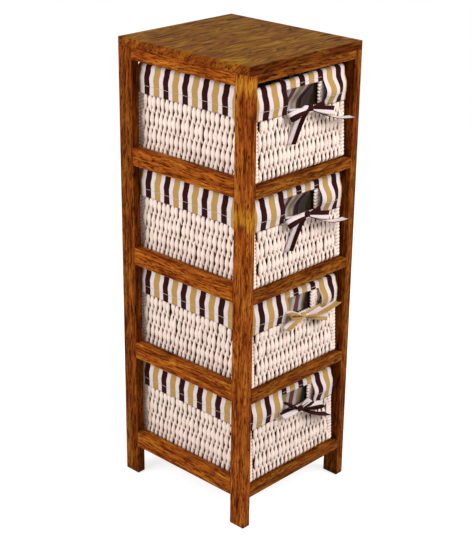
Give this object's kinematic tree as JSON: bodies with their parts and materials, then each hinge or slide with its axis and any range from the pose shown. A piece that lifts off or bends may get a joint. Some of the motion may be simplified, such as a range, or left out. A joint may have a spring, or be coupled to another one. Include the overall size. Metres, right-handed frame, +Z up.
{
  "type": "basket storage tower",
  "caption": "Free-standing open wooden tower with a top panel and lined, woven pull-out baskets, each with a hand-hole, a striped skirt and a ribbon bow.",
  "frame": {"origin": "on the floor under the middle of the tower", "axes": "+Z up, -Y to the front where the baskets pull out, +X to the right seen from the front"},
  "size_m": [0.272, 0.3, 0.82],
  "materials": {
    "stained_wood": "satin stain",
    "plain_wood": "matt stain",
    "paper_rope": "woven",
    "striped_cotton": "woven stripes",
    "striped_ribbon": "woven stripes",
    "steel_wire": "drawn",
    "zinc_screw": "zinc"
  },
  "bodies": {
    "tower": {"post_front_left": "stained_wood", "post_front_right": "stained_wood", "post_back_left": "stained_wood", "post_back_right": "stained_wood", "top_panel": "stained_wood", "side_rail_left_top": "stained_wood", "side_rail_left_1": "stained_wood", "side_rail_left_2": "stained_wood", "side_rail_left_3": "stained_wood", "side_rail_left_4": "stained_wood", "side_rail_right_top": "stained_wood", "side_rail_right_1": "stained_wood", "side_rail_right_2": "stained_wood", "side_rail_right_3": "stained_wood", "side_rail_right_4": "stained_wood", "front_rail_top": "stained_wood", "front_rail_1": "stained_wood", "front_rail_2": "stained_wood", "front_rail_3": "stained_wood", "front_rail_4": "stained_wood", "back_rail_top": "stained_wood", "back_rail_1": "stained_wood", "back_rail_2": "stained_wood", "back_rail_3": "stained_wood", "back_rail_4": "stained_wood", "runner_left_1": "plain_wood", "runner_left_2": "plain_wood", "runner_left_3": "plain_wood", "runner_left_4": "plain_wood", "runner_right_1": "plain_wood", "runner_right_2": "plain_wood", "runner_right_3": "plain_wood", "runner_right_4": "plain_wood", "runner_screws_left": "zinc_screw", "runner_screws_right": "zinc_screw", "panel_screws": "zinc_screw"},
    "basket_unit_1": {"basket_1": "paper_rope", "wire_frame_1": "steel_wire", "liner_1": "striped_cotton", "bow_1": "striped_ribbon"},
    "basket_unit_2": {"basket_2": "paper_rope", "wire_frame_2": "steel_wire", "liner_2": "striped_cotton", "bow_2": "striped_ribbon"},
    "basket_unit_3": {"basket_3": "paper_rope", "wire_frame_3": "steel_wire", "liner_3": "striped_cotton", "bow_3": "striped_ribbon"},
    "basket_unit_4": {"basket_4": "paper_rope", "wire_frame_4": "steel_wire", "liner_4": "striped_cotton", "bow_4": "striped_ribbon"}
  },
  "joints": [
    {"name": "basket_1_slide", "type": "slide", "parent": "tower", "child": "basket_unit_1", "axis": [0, -1, 0], "range_m": [-0.016, 0.285]},
    {"name": "basket_2_slide", "type": "slide", "parent": "tower", "child": "basket_unit_2", "axis": [0, -1, 0], "range_m": [-0.016, 0.285]},
    {"name": "basket_3_slide", "type": "slide", "parent": "tower", "child": "basket_unit_3", "axis": [0, -1, 0], "range_m": [-0.016, 0.285]},
    {"name": "basket_4_slide", "type": "slide", "parent": "tower", "child": "basket_unit_4", "axis": [0, -1, 0], "range_m": [-0.016, 0.285]}
  ]
}
